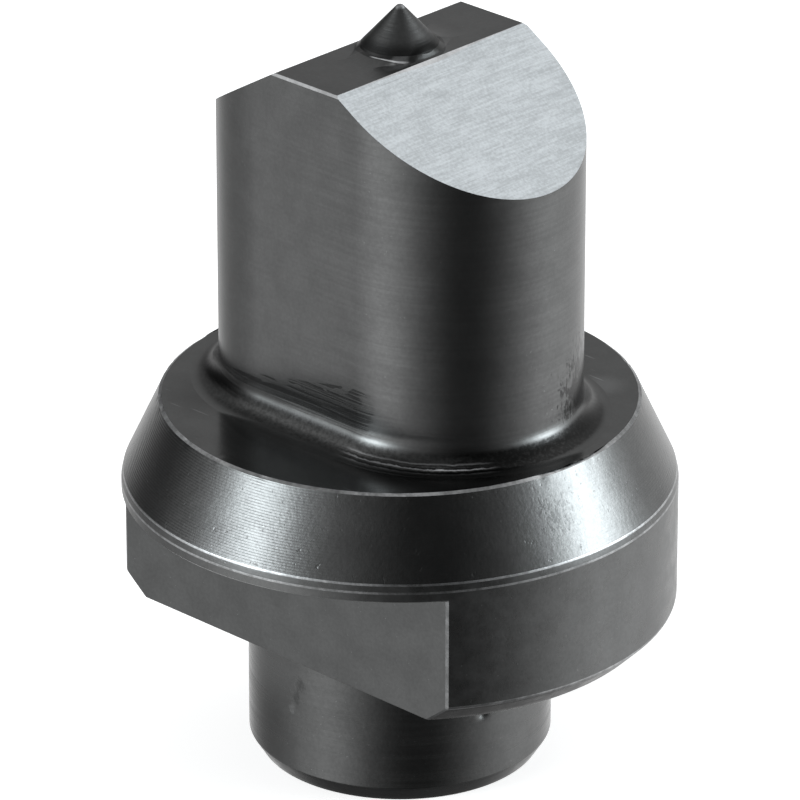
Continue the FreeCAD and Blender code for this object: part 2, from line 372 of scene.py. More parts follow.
def rounded_line(corners):
    """Points of a line through the corners, each corner with an edge replaced by a short curve.

    The curve is a parabola that touches both neighbouring stretches at the edge's width from the
    corner. Returns for each stretch and each curve its points, from first to last, and its finish.
    """
    stretches = []
    places = [np.array([corner.radius, corner.height]) for corner in corners]
    start = places[0]
    for number in range(1, len(corners)):
        corner = corners[number]
        arriving = places[number] - places[number - 1]
        arriving = arriving / np.linalg.norm(arriving)
        end = places[number] - arriving * corner.edge
        steps = np.linspace(0.0, 1.0, corner.rows + 1)[:, None]
        stretches.append((start + steps * (end - start), corner.finish))
        start = end
        if corner.edge > 0:
            leaving = places[number + 1] - places[number]
            leaving = leaving / np.linalg.norm(leaving)
            beyond = places[number] + leaving * corner.edge
            steps = np.linspace(0.0, 1.0, CURVE_POINTS)[:, None]
            curve = (1 - steps) ** 2 * end + 2 * steps * (1 - steps) * places[number] + steps ** 2 * beyond
            stretches.append((curve, corner.edge_finish))
            start = beyond
    return stretches


def blend(first, last, steps):
    """Rows that lead in a straight line from one row of points to another.

    The steps are the rows' shares of the way, or the number of rows where they are even.
    """
    if isinstance(steps, int):
        steps = np.linspace(0, 1, steps)
    steps = np.asarray(steps)[:, None, None]
    return (1 - steps) * first[None] + steps * last[None]


def profile_patches(angles, corners):
    """Patches all the way round for a line through the corners."""
    return [
        Patch(np.stack([ring(angles, radius, height) for radius, height in points]), finish)
        for points, finish in rounded_line(corners)
    ]


def lower_patches(columns):
    """End face, spigot, seat and the keyed rim, up to the underside of the lip."""
    form = columns.form
    sizes = form.sizes
    nick_zone = NICK.reach * 3
    patches = profile_patches(columns.angles, [
        Corner(0.0, 0.0, 0.0, 0, "spigot"),
        Corner(form.spigot_radius - sizes.spigot_chamfer, 0.0, sizes.small_edge, 3, "spigot", "lead_in"),
        Corner(form.spigot_radius, sizes.spigot_chamfer_height, sizes.small_edge, 3, "lead_in", "spigot"),
        Corner(form.spigot_radius, NICK.height - nick_zone, 0.0, 8, "spigot"),
        Corner(form.spigot_radius, NICK.height + nick_zone, 0.0, 24, "spigot"),
        Corner(form.spigot_radius, form.seat_z, 0.0, 5, "spigot"),
    ])
    rim = rounded_line([
        Corner(sizes.rim_radius - sizes.rim_chamfer - sizes.small_edge, form.seat_z, 0.0, 0, "turned"),
        Corner(sizes.rim_radius - sizes.rim_chamfer, form.seat_z, sizes.small_edge, 1, "turned"),
        Corner(sizes.rim_radius, form.seat_z + sizes.rim_chamfer, sizes.small_edge * 2, 4, "chamfer"),
        Corner(sizes.rim_radius, form.lip_z, 0.0, 12, "turned"),
    ])[1:]
    seat_edge = keyed_ring(columns, *rim[0][0][0])
    patches.append(Patch(blend(patches[-1].grid[-1], seat_edge, 4), "turned"))
    flat_columns = columns.between(2, 7)
    round_columns = columns.between(8, 1)
    breaks = (columns.between(1, 2), columns.between(7, 8))
    for points, finish in rim:
        grid = np.stack([keyed_ring(columns, radius, height) for radius, height in points])
        patches.append(Patch(grid[:, round_columns], finish))
        patches.append(Patch(grid[:, flat_columns], "milled"))
        for numbers in breaks:
            patches.append(Patch(grid[:, numbers], "key_edge"))
    return patches, grid[-1]


def flange_patches(columns, rim_top):
    """The lip over the key flat, the retaining cone and the top face, in to the hollow of the foot.

    The lower edge of the lip is rounded over the key flat, and it narrows to nothing over four columns.
    """
    form = columns.form
    sizes = form.sizes
    angles = columns.angles
    over_flat = columns.between(1, 8)
    from_end = columns.knots[8] - FRONT - np.abs(angles - FRONT)
    lip_edge = sizes.small_edge * np.clip(from_end / (sizes.column_spacing * 4), 0, 1)
    lip_low = ring(angles, sizes.rim_radius - lip_edge, form.lip_z)
    lip_high = ring(angles, sizes.rim_radius, form.lip_z + sizes.small_edge)
    patches = [
        Patch(blend(rim_top, lip_low, 4)[:, over_flat], "milled"),
        Patch(blend(lip_low, lip_high, 2)[:, over_flat], "lip_edge"),
        Patch(blend(lip_low, lip_high, 2)[:, columns.between(8, 1)], "turned"),
    ]
    rim_edge, face_edge = sizes.rim_edge_break, sizes.face_edge_break
    patches += profile_patches(angles, [
        Corner(sizes.rim_radius, form.lip_z + sizes.small_edge, 0.0, 0, "turned"),
        Corner(sizes.rim_radius, form.cone_foot_z - rim_edge, sizes.small_edge, 3, "turned"),
        Corner(sizes.rim_radius - rim_edge * form.cone_across, form.cone_foot_z + rim_edge * form.cone_along,
               sizes.small_edge, 1, "turned", "rim_edge"),
        Corner(form.face_radius + face_edge * form.cone_across, form.face_z - face_edge * form.cone_along,
               0.0, 18, "cone"),
        Corner(form.face_radius - face_edge, form.face_z, 0.0, 3, "face_edge"),
    ])
    foot = form.half_width + sizes.foot_radius
    outermost = oval_ring(columns, foot + ZONE_BESIDE_FOOT, form.face_z)
    patches.append(Patch(blend(patches[-1].grid[-1], outermost, 7), "face"))
    offsets = np.linspace(foot + ZONE_BESIDE_FOOT, foot, 9)
    patches.append(Patch(oval_rings(columns, offsets, np.full_like(offsets, form.face_z)), "face"))
    return patches


def roof_height(form, x):
    """Height of the ground roof over a place x: the strip in the middle, and the slopes beside it."""
    return form.strip_z - form.slope * np.maximum(np.abs(x) - form.half_strip, 0.0)


def shank_patches(columns):
    """The hollow of the foot and the oval shank, up to the edge of the roof."""
    form = columns.form
    sizes = form.sizes
    turns = np.linspace(0, math.pi / 2, 19)
    offsets = form.half_width + sizes.foot_radius * (1 - np.sin(turns))
    heights = form.face_z + sizes.foot_radius * (1 - np.cos(turns))
    hollow = oval_rings(columns, offsets, heights)
    low_heights = np.linspace(heights[-1], form.face_z + ZONE_OVER_FACE, 17)
    low = oval_rings(columns, np.full_like(low_heights, form.half_width), low_heights)
    top = low[-1].copy()
    top[:, 2] = np.minimum(roof_height(form, top[:, 0]), form.wall_top_z)
    return [Patch(grid, "shank") for grid in (hollow, low, blend(low[-1], top, 13))], top


def nib_height(form, reach):
    """Height of the nib over the strip at a distance from the axis.

    From the axis outwards: a ball, a straight side that touches it, a hollow that touches the
    side and the strip, and zero beyond.
    """
    sizes = form.sizes
    half_angle = sizes.nib_half_angle
    ball, hollow = sizes.nib_tip_radius, sizes.nib_foot_radius
    ball_end = ball * math.cos(half_angle)
    fall = 1 / math.tan(half_angle)
    side_top = sizes.nib_height - ball * (1 - math.sin(half_angle))
    foot = ball_end + side_top / fall
    hollow_span = hollow * math.tan((math.pi / 2 - half_angle) / 2)
    hollow_end = foot + hollow_span
    hollow_start = hollow_end - hollow * math.cos(half_angle)
    on_ball = sizes.nib_height - ball + np.sqrt(np.maximum(ball ** 2 - reach ** 2, 0.0))
    on_side = side_top - (reach - ball_end) * fall
    in_hollow = hollow - np.sqrt(np.maximum(hollow ** 2 - (hollow_end - reach) ** 2, 0.0))
    height = np.where(reach < ball_end, on_ball, on_side)
    height = np.where(reach > hollow_start, in_hollow, height)
    return np.where(reach > hollow_end, 0.0, height)


def roof_patches(columns, wall_top):
    """Both ground slopes, the strip with its broken edges, and the nib in its middle.

    A slope's rows lead from the roof's edge in a straight line to the side of the strip. There the
    points are evenly spread in direction as seen from the nib. The strip and the nib are one
    grid: rays from the axis to the strip's outline, lifted by the nib's height. Their rows are circles
    out to a margin inside the strip, and lead on to the outline from there.
    """
    form = columns.form
    sizes = form.sizes
    strip_end = form.half_width - sizes.top_edge_break
    across = [*np.linspace(0, 0.97, 12), 0.995, 1.0]
    patches = []
    outline = []
    corner = math.atan2(strip_end, form.half_strip)
    for first_knot, last_knot, side in ((5, 10, 1), (11, 4, -1)):
        edge = wall_top[columns.between(first_knot, last_knot)]
        seen = np.linspace(-corner, corner, len(edge))
        y = side * form.half_strip * np.tan(seen)
        x = np.full_like(y, side * form.half_strip)
        chord = np.stack([x, y, np.full_like(y, form.strip_z)], axis=-1)
        rows = blend(edge, chord, across)
        patches.append(Patch(rows[:-2], "ground"))
        patches.append(Patch(rows[-3:], "roof_edge"))
        outline.append(chord)
    ends = []
    for first_knot, last_knot, side in ((4, 5, -1), (10, 11, 1)):
        edge = wall_top[columns.between(first_knot, last_knot)]
        top = edge.copy()
        top[:, 0] *= form.half_strip / form.wall_top_x
        top[:, 1] = side * strip_end
        top[:, 2] = form.strip_z
        patches.append(Patch(blend(edge, top, across), "roof_edge"))
        ends.append(top)
    loop = np.concatenate([ends[0][:-1], outline[0][:-1], ends[1][:-1], outline[1][:-1]])
    reach = np.hypot(loop[:, 0], loop[:, 1])
    circle = form.half_strip - NIB_GRID_MARGIN
    tip = sizes.nib_tip_radius
    inner = np.concatenate([np.linspace(0, 0.8 * tip, 8), np.linspace(tip, circle, 20)])
    outward = np.linspace(0, 1, 6)[1:, None]
    share = np.concatenate([inner[:, None] / reach, circle / reach * (1 - outward) + outward])
    flat_points = share[:, :, None] * loop[None]
    raised = nib_height(form, np.hypot(flat_points[:, :, 0], flat_points[:, :, 1]))
    fade = np.clip((form.half_strip - np.abs(flat_points[:, :, 0])) / (2 * sizes.top_edge_break), 0, 1)
    flat_points[:, :, 2] = form.strip_z + raised * fade
    closed = np.concatenate([flat_points, flat_points[:, :1]], axis=1)[::-1]
    split = len(outward) + 1
    patches.append(Patch(closed[:split + 1], "strip"))
    patches.append(Patch(closed[split:], "nib"))
    return patches


def closed_columns(patch, column_count):
    """The patch's grid, with its first column repeated at its end where it runs all the way round."""
    grid = patch.grid
    if grid.shape[1] == column_count:
        grid = np.concatenate([grid, grid[:, :1]], axis=1)
    return grid


def grid_faces(rows, columns, first):
    """Corners of the quads of a grid whose points are numbered row by row from first."""
    numbers = first + np.arange(rows * columns).reshape(rows, columns)
    return np.stack([
        numbers[:-1, :-1], numbers[:-1, 1:], numbers[1:, 1:], numbers[1:, :-1],
    ], axis=-1).reshape(-1, 4)


def joined_mesh(name, patches, column_count):
    """One closed mesh of all patches: their grids side by side, with the points that meet merged."""
    points, faces, finishes = [], [], []
    first = 0
    for patch in patches:
        grid = closed_columns(patch, column_count)
        rows, columns = grid.shape[:2]
        quads = grid_faces(rows, columns, first)
        points.append(grid.reshape(-1, 3))
        faces.append(quads)
        finishes.append(np.full(len(quads), FINISHES.index(patch.finish)))
        first += rows * columns
    points, faces, finishes = np.concatenate(points), np.concatenate(faces), np.concatenate(finishes)
    mesh = bpy.data.meshes.new(name)
    mesh.from_pydata(points, [], faces)
    mesh.polygons.foreach_set("material_index", finishes.astype(np.int32))
    merge_points(mesh)
    mesh.polygons.foreach_set("use_smooth", np.ones(len(mesh.polygons), bool))
    mesh.set_sharp_from_angle(angle=SHARP_ANGLE)
    return mesh


def merge_points(mesh):
    """Merges points that lie in one place, and stops where the surface isn't closed then."""
    work = bmesh.new()
    work.from_mesh(mesh)
    bmesh.ops.remove_doubles(work, verts=work.verts, dist=MERGE_DISTANCE)
    bmesh.ops.dissolve_degenerate(work, dist=LEAST_EDGE, edges=work.edges)
    open_edges = [edge for edge in work.edges if len(edge.link_faces) != 2]
    if open_edges:
        places = [tuple(round(value / MM, 3) for value in edge.verts[0].co) for edge in open_edges[:5]]
        raise RuntimeError(f"the surface is open at {len(open_edges)} edges, such as {places}")
    if work.calc_volume() <= 0:
        raise RuntimeError("the surface is inside out")
    work.to_mesh(mesh)
    work.free()


def nicked(points, form):
    """The points with the spigot's nick: pushed in by depth exp(-(distance / reach)^2) about its middle."""
    outward = np.array([math.cos(NICK.direction), math.sin(NICK.direction), 0.0])
    middle = outward * form.spigot_radius + np.array([0.0, 0.0, NICK.height])
    aside = (points - middle) / NICK.reach
    share = np.exp(-np.sum(aside ** 2, axis=1))
    return points - share[:, None] * NICK.depth * outward


def chipped(points, form):
    """The points with small chips in the edge between the top face and the cone.

    Each chip has its own direction, width and depth. It pushes points in towards the axis and
    down by depth exp(-(turn / width)^2) exp(-(distance from the edge / edge break)^2). Points
    further off than three breaks stay.
    """
    sizes = form.sizes
    random = np.random.default_rng(CHIP_SEED)
    directions = random.uniform(-math.pi, math.pi, CHIP_COUNT)
    widths = np.radians(random.uniform(*CHIP_WIDTHS, CHIP_COUNT))
    depths = random.uniform(*CHIP_DEPTHS, CHIP_COUNT) * sizes.face_edge_break
    reach = np.hypot(points[:, 0], points[:, 1])
    from_edge = np.hypot(reach - form.face_radius, points[:, 2] - form.face_z) / sizes.face_edge_break
    near = from_edge < 3
    around = np.arctan2(points[near, 1], points[near, 0])
    turn = np.abs(around[:, None] - directions[None])
    turn = np.minimum(turn, 2 * math.pi - turn)
    depth = np.sum(depths * np.exp(-(turn / widths) ** 2), axis=1) * np.exp(-from_edge[near] ** 2)
    moved = points.copy()
    moved[near, :2] *= (1 - depth / reach[near])[:, None]
    moved[near, 2] -= depth
    return moved


def worn_mesh(mesh, form):
    """Puts the nick and the chips into the mesh."""
    points = np.empty(len(mesh.vertices) * 3, np.float32)
    mesh.vertices.foreach_get("co", points)
    points = chipped(nicked(points.reshape(-1, 3).astype(float), form), form)
    mesh.vertices.foreach_set("co", points.astype(np.float32).ravel())
    mesh.update()


def punch_mesh(sizes):
    """The whole surface of the punch."""
    form = Form(sizes)
    columns = Columns(form)
    lower, rim_top = lower_patches(columns)
    flange = flange_patches(columns, rim_top)
    shank, wall_top = shank_patches(columns)
    roof = roof_patches(columns, wall_top)
    mesh = joined_mesh("oval_punch_surface", lower + flange + shank + roof, len(columns.angles))
    worn_mesh(mesh, form)
    return mesh


class Flow:
    """A node's output. Arithmetic on it adds Math nodes to its tree."""

    def __init__(self, graph, socket):
        self.graph = graph
        self.socket = socket

    def __add__(self, other):
        return self.graph.maths("ADD", self, other)

    def __radd__(self, other):
        return self.graph.maths("ADD", other, self)

    def __sub__(self, other):
        return self.graph.maths("SUBTRACT", self, other)

    def __rsub__(self, other):
        return self.graph.maths("SUBTRACT", other, self)

    def __mul__(self, other):
        return self.graph.maths("MULTIPLY", self, other)

    def __rmul__(self, other):
        return self.graph.maths("MULTIPLY", other, self)

    def __truediv__(self, other):
        return self.graph.maths("DIVIDE", self, other)

    def __abs__(self):
        return self.graph.maths("ABSOLUTE", self)


class Graph:
    """A node tree under construction."""

    def __init__(self, tree):
        self.tree = tree
        tree.nodes.clear()

    def node(self, kind, settings=None, inputs=None, output=0):
        """Adds a node, gives it its settings, then the values or links of its sockets."""
        node = self.tree.nodes.new(kind)
        for name, value in (settings or {}).items():
            setattr(node, name, value)
        for name, value in (inputs or {}).items():
            if isinstance(value, Flow):
                self.tree.links.new(value.socket, node.inputs[name])
            else:
                node.inputs[name].default_value = value
        return Flow(self, node.outputs[output]) if node.outputs else node

    def maths(self, operation, first, second=0.0):
        """A number worked out from one or two others."""
        return self.node("ShaderNodeMath", {"operation": operation}, {0: first, 1: second})

    def greater(self, first, second):
        """The greater of two numbers."""
        return self.maths("MAXIMUM", first, second)

    def smooth(self, value, low, high, at_low=0.0, at_high=1.0):
        """Runs smoothly from at_low to at_high while the value runs from low to high."""
        return self.node("ShaderNodeMapRange", {"interpolation_type": "SMOOTHSTEP"}, {
            "Value": value, "From Min": low, "From Max": high, "To Min": at_low, "To Max": at_high,
        })

    def mixed(self, share, first, last):
        """A colour between two colours."""
        return self.node("ShaderNodeMix", {"data_type": "RGBA"}, {
            "Factor": share, FIRST_COLOUR: first, LAST_COLOUR: last,
        }, output=MIXED_COLOUR)

    def parts(self, vector):
        """The three coordinates of a vector."""
        outputs = self.node("ShaderNodeSeparateXYZ", {}, {0: vector}).socket.node.outputs
        return [Flow(self, outputs[number]) for number in range(3)]

    def seen_directly(self):
        """One for a ray from the camera or through glass, and zero for any other."""
        rays = self.node("ShaderNodeLightPath").socket.node.outputs
        return self.greater(Flow(self, rays["Is Camera Ray"]), Flow(self, rays["Is Transmission Ray"]))


class Surface(Graph):
    """A material under construction. Its place, x, y, z and reach from the axis are in millimetres."""

    def __init__(self, name, finish):
        self.finish = finish
        self.material = bpy.data.materials.new(name)
        self.material.use_nodes = True
        super().__init__(self.material.node_tree)
        coordinates = self.node("ShaderNodeTexCoord", output="Object")
        self.place = self.node(
            "ShaderNodeVectorMath", {"operation": "SCALE"}, {0: coordinates, "Scale": 1 / MM})
        self.x, self.y, self.z = self.parts(self.place)
        self.reach = self.maths("SQRT", self.x * self.x + self.y * self.y)

    def noise(self, scale, detail=2.0, roughness=0.5, place=None):
        """Noise over the piece. Its scale may be a number, or one for each of X, Y and Z."""
        place = place or self.place
        if isinstance(scale, tuple):
            place = self.node("ShaderNodeVectorMath", {"operation": "MULTIPLY"}, {0: place, 1: scale})
            scale = 1.0
        return self.node("ShaderNodeTexNoise", {}, {
            "Vector": place, "Scale": scale, "Detail": detail, "Roughness": roughness,
        })

    def rings(self, per_mm=5.0):
        """Fine rings about the axis, each one fading and coming back along its way round."""
        along = (self.z + self.reach) * per_mm
        spot = self.node("ShaderNodeCombineXYZ", {}, {0: self.x * 0.12, 1: self.y * 0.12, 2: along})
        return self.noise(1.0, 2.0, 0.6, spot)

    def distance(self, middle):
        """How far a point lies from a middle, in millimetres."""
        return self.node(
            "ShaderNodeVectorMath", {"operation": "DISTANCE"}, {0: self.place, 1: middle}, output="Value")

    def varied(self, value, pattern, least, most):
        """A value times a share that goes from least to most with a pattern."""
        return self.smooth(pattern, 0.3, 0.7, value * least, value * most)

    def rubbed_and_highlit(self, base, share, tone=1.0):
        """A colour with a share of bare steel in it, for real wear and for painted highlights and glint
        lines.
        """
        return self.mixed(share, base, rgba(self.finish.bare, tone))

    def toned(self, base, share, tone):
        """A colour with a share of oxide of another tone in it, for real marks and for painted shade."""
        return self.mixed(share, base, rgba(self.finish.oxide, tone))

    def oxide(self, tone=1.0):
        """Blackened steel: slow clouds, a fine mottle, and small specks where bare steel shows."""
        clouds = self.smooth(self.noise(0.55, 3.0, 0.6), 0.3, 0.7)
        mottle = self.smooth(self.noise(5.0, 2.0, 0.6), 0.35, 0.65)
        specks = self.smooth(self.noise(9.0, 1.0), 0.765, 0.8)
        base = self.toned(rgba(self.finish.oxide, tone * 0.88), clouds * 0.6 + mottle * 0.4, tone * 1.12)
        return self.rubbed_and_highlit(base, specks * 0.22)

    def finished(self, base, roughness, height):
        """The material, with a metal shader of this colour, roughness and relief in millimetres."""
        shader = self.node("ShaderNodeBsdfPrincipled", {}, {
            "Base Color": base, "Metallic": 1.0, "Roughness": roughness,
            "Normal": self.node("ShaderNodeBump", {}, {"Height": height, "Distance": MM}),
        })
        self.node("ShaderNodeOutputMaterial", {}, {"Surface": shader})
        return self.material


def rgba(values, share=1.0):
    """A colour times a share, with its alpha."""
    return (values[0] * share, values[1] * share, values[2] * share, 1.0)


def turned_oxide(name, finish, tone=1.0):
    """Turned and blackened: the seat, the rim and its chamfer, and the spigot's lead-in. A tone below one
    paints shade into the oxide.
    """
    steel = Surface(name, finish)
    ring_depth, pit_depth, grain_depth = 0.004, 0.003, 0.003
    pits = steel.smooth(steel.noise(3.2, 2.0, 0.7), 0.24, 0.34, -pit_depth, 0.0)
    rough = steel.varied(finish.turned_roughness, steel.noise(1.1, 3.0, 0.6), 0.85, 1.15)
    height = steel.rings() * ring_depth + pits + steel.noise(6.0, 2.0, 0.6) * grain_depth
    return steel.finished(steel.oxide(tone), rough, height)


def spigot_oxide(name, finish, tone):
    """The spigot: turned, with a few scuffs in front. One side has a painted highlight under the seat and
    painted shade below.

    A scuff is an ellipse about its middle, with a ragged outline.
    """
    steel = Surface(name, finish)
    ring_depth, grain_depth, scuff_depth = 0.01, 0.006, 0.01
    rings = steel.rings()
    ragged = steel.noise(3.0, 3.0, 0.7)
    # Painted light and shade on one side: paler under the seat and darker towards the end face.
    left = steel.smooth(steel.x * SPIGOT_PAINTED_ACROSS[0] + steel.y * SPIGOT_PAINTED_ACROSS[1], -7.4, -5.0, 0.7, 0.0)
    painted_light_and_shade = steel.toned(rgba(finish.oxide, 0.35), steel.smooth(steel.z, 3.0, 6.6), 1.35)
    base = steel.mixed(left, steel.oxide(tone), painted_light_and_shade)
    in_front = steel.smooth(steel.y, -7.6, -7.0, 1.0, 0.0)
    dents = 0.0
    for scuff in SCUFFS:
        across = (steel.x - scuff.x) / scuff.reach
        along = (steel.z - scuff.z) / scuff.reach / SCUFF_STRETCH
        share = steel.smooth(across * across + along * along + ragged * 3.0, 1.2, 2.7, 1.0, 0.0) * in_front
        coloured = steel.rubbed_and_highlit if scuff.bare else steel.toned
        base = coloured(base, share * scuff.share, SCUFF_TONE)
        dents = share * scuff_depth + dents
    height = rings * ring_depth + ragged * grain_depth - dents
    return steel.finished(base, steel.varied(finish.turned_roughness, rings, 0.65, 0.95), height)


def cone_oxide(name, finish):
    """The retaining cone: turned grooves that are fainter towards +X, small pits, and dark blotches.

    The grooves are a sine of the height, bent a little by slow rings.
    """
    steel = Surface(name, finish)
    pit_depth, grain_depth, blotch_depth = 0.006, 0.008, 0.0015
    turns = steel.z * (2 * math.pi * MM / finish.groove_pitch)
    grooves = steel.maths("SINE", turns + steel.rings(0.5) * 3.0)
    fade = steel.smooth(steel.noise(0.35), 0.3, 0.7, 0.4, 1.0) * steel.smooth(steel.x, 3.0, 9.0, 1.0, 0.4)
    pits = steel.smooth(steel.noise(2.3, 2.0, 0.7), 0.24, 0.33, -pit_depth, 0.0)
    blotches = steel.noise((4.0, 4.0, 2.5), 4.0, 0.75) - steel.distance(BLOTCH) * 0.12
    blotches = steel.smooth(blotches, 0.38, 0.5)
    base = steel.toned(steel.oxide(), blotches * 0.35, 0.3)
    height = grooves * fade * (finish.groove_depth / 2 / MM) + pits
    height = height + steel.noise(4.0, 3.0, 0.7) * grain_depth - blotches * blotch_depth
    return steel.finished(base, finish.turned_roughness * 0.78, height)


def milled_oxide(name, finish, tone):
    """Milled and blackened: the key flat and the underside of the lip. Faint lines run across it."""
    steel = Surface(name, finish)
    relief = 0.003
    lines = steel.noise((0.25, 0.25, 4.0), 3.0, 0.6)
    height = lines * relief + steel.noise(5.0, 2.0, 0.6) * relief
    rough = steel.varied(finish.turned_roughness, lines, 0.95, 1.25)
    return steel.finished(steel.oxide(tone), rough, height)


def face_oxide(name, finish, form):
    """The top face: smooth, with faint turned rings, a few fine scratches, a painted highlight beside the
    shank and painted shade near its foot.
    """
    steel = Surface(name, finish)
    ring_depth = 0.0015
    rings = steel.rings(3.0)
    scratches = steel.noise((0.35, 5.0, 1.0), 1.0) + steel.noise(0.5) * 0.02
    base = steel.rubbed_and_highlit(steel.oxide(), steel.smooth(scratches, 0.74, 0.77) * 0.35)
    # A painted highlight of bare steel beside the shank, and painted shade near the shank's foot.
    gleam = steel.smooth(steel.distance((*GLEAM, form.face_z / MM)), 0.3, 1.7, 0.15, 0.0)
    painted_face_shade = steel.smooth(steel.distance((*FACE_SHADE_MIDDLE, form.face_z / MM)), 0.5, 3.6, 0.6, 0.0)
    base = steel.toned(steel.rubbed_and_highlit(base, gleam), painted_face_shade, 0.3)
    rough = steel.varied(finish.face_roughness, rings, 0.85, 1.2)
    return steel.finished(base, rough, rings * ring_depth)


def tool_marked(steel, above, steps):
    """The share of tool marks: low on the front flat, up to a stepped line that rises towards +X."""
    top = steel.smooth(steps, 0.44, 0.5, 2.45, 2.85) + steel.x * 0.2
    on_flat = steel.smooth(steel.y, -6.3, -5.2, 1.0, 0.0)
    on_flat = on_flat * steel.smooth(steel.x + (steps - 0.5) * 3.0, 4.2, 4.6, 1.0, 0.0)
    return steel.smooth(above, 0.85, 1.15) * steel.smooth(above - top, -0.05, 0.05, 1.0, 0.0) * on_flat


def painted_shade_share(steel, above, low, steps, cuts):
    """The share of painted shade: mottled low down in the foot's hollow, darker still at its +X end, and
    higher up at its -X end.
    """
    painted_shade = low * steel.smooth(steel.noise(5.0, 3.0, 0.75), 0.35, 0.65, 0.4, 0.75)
    painted_shade = painted_shade + low * steel.smooth(steel.x, 8.2, 9.6, 0.0, 0.45)
    at_left = steel.smooth(steel.x + steps * 1.5, -4.4, -2.6, 1.0, 0.0)
    at_left = at_left * steel.smooth(steel.y, -2.0, 0.5, 1.0, 0.0)
    left_foot = steel.smooth(above, 0.1, 0.4) * steel.smooth(above + steps, 1.7, 2.3, 1.0, 0.0)
    return steel.greater(painted_shade, at_left * left_foot * (cuts * 0.3 + 0.5))


def front_ridges(steel, form):
    """Ridges in the front of the foot's hollow, and painted glint lines of bare steel on their tops.

    The ridges are a sine of the distance from the oval's middle line, bent by noise.
    """
    beyond = steel.greater(abs(steel.x) - form.end_centre / MM, 0.0)
    from_oval = steel.maths("SQRT", beyond * beyond + steel.y * steel.y)
    in_front = steel.smooth(from_oval, 7.4, 7.6) * steel.smooth(steel.x, 2.8, 4.6)
    in_front = in_front * steel.smooth(steel.y, -4.6, -3.4, 1.0, 0.0)
    uneven = steel.noise(1.3, 3.0, 0.7)
    ridges = steel.maths("SINE", from_oval * (2 * math.pi / RIDGE_PITCH) + uneven * 5.0)
    painted_glints = steel.smooth(ridges + uneven * 1.6, 1.0, 1.9) * in_front
    return ridges * in_front, painted_glints * steel.smooth(from_oval, 7.9, 8.2, 1.0, 0.0)


def shank_oxide(name, finish, form):
    """The shank and its foot: fine lines round it, tool marks over the foot's hollow, dark flecks, painted
    shade in the hollow and painted glint lines on its ridges.
    """
    steel = Surface(name, finish)
    line_depth, cut_depth, fleck_depth, ridge_depth = 0.0035, 0.0028, 0.004, 0.006
    above = steel.z - form.face_z / MM
    low = steel.smooth(above, 0.7, 1.0, 1.0, 0.0) * steel.smooth(above, 0.0, 0.12)
    lines = steel.noise((0.12, 0.12, 5.0), 3.0, 0.6)
    lined = steel.smooth(steel.x, -3.0, 4.0, 0.35, 1.0)
    steps = steel.noise((0.8, 0.0, 1.1), 1.0, 0.5)
    cuts = steel.smooth(steel.noise((0.16, 0.16, 6.5), 2.0, 0.6), 0.42, 0.58)
    marked = tool_marked(steel, above, steps)
    from_flecks = steel.distance((*FLECKS, form.face_z / MM + FLECKS_ABOVE))
    flecks = steel.noise((3.6, 3.6, 1.7), 4.0, 0.75) - from_flecks * 0.09
    flecks = steel.smooth(flecks, 0.27, 0.36) * steel.smooth(above, 0.95, 1.2)
    ridges, painted_glints = front_ridges(steel, form)
    dark = steel.greater(marked * (cuts * 0.42 + 0.14), flecks * 0.85)
    # The foot's hollow is darkened by painted shade; the tool marks and flecks are the steel's own.
    dark = steel.greater(dark, painted_shade_share(steel, above, low, steps, cuts))
    line_share = steel.smooth(lines, 0.35, 0.65, 0.2, 0.0) * lined
    base = steel.toned(steel.toned(steel.oxide(), line_share, 0.5), dark, 0.15)
    # Painted glint lines of bare steel on the hollow's ridges.
    base = steel.rubbed_and_highlit(base, painted_glints * 0.6)
    height = lines * lined * line_depth - cuts * marked * cut_depth - flecks * fleck_depth
    height = height + ridges * ridge_depth + steel.noise(5.0, 2.0, 0.6) * (low * 0.005 + 0.0005)
    rough = steel.smooth(above, 0.2, 1.6, finish.shank_roughness * 0.62, finish.shank_roughness)
    return steel.finished(base, rough, height)


def ground_steel(name, finish):
    """The ground slopes: bright lines along Y, of uneven length and strength, over faint clouds."""
    steel = Surface(name, finish)
    line_depth, grain_depth, score_depth = 0.0012, 0.0015, 0.002
    fine = steel.noise((9.0, 0.45, 0.0), 2.0, 0.6)
    broad = steel.noise((1.6, 0.12, 0.0), 2.0, 0.6)
    clouds = steel.noise((0.9, 0.5, 0.9), 4.0, 0.6)
    grain = steel.noise(6.0, 3.0, 0.7)
    scores = steel.smooth(steel.noise((5.0, 0.14, 3.0), 1.0), 0.72, 0.77)
    share = steel.smooth(fine * 0.3 + broad * 0.15 + clouds * 0.2 + grain * 0.35, 0.38, 0.62)
    base = steel.mixed(share, rgba(finish.ground, 0.82), rgba(finish.ground, 1.16))
    base = steel.mixed(scores * 0.3, base, rgba(finish.ground, 0.5))
    height = fine * line_depth + grain * grain_depth - scores * score_depth
    return steel.finished(base, finish.ground_roughness, height)


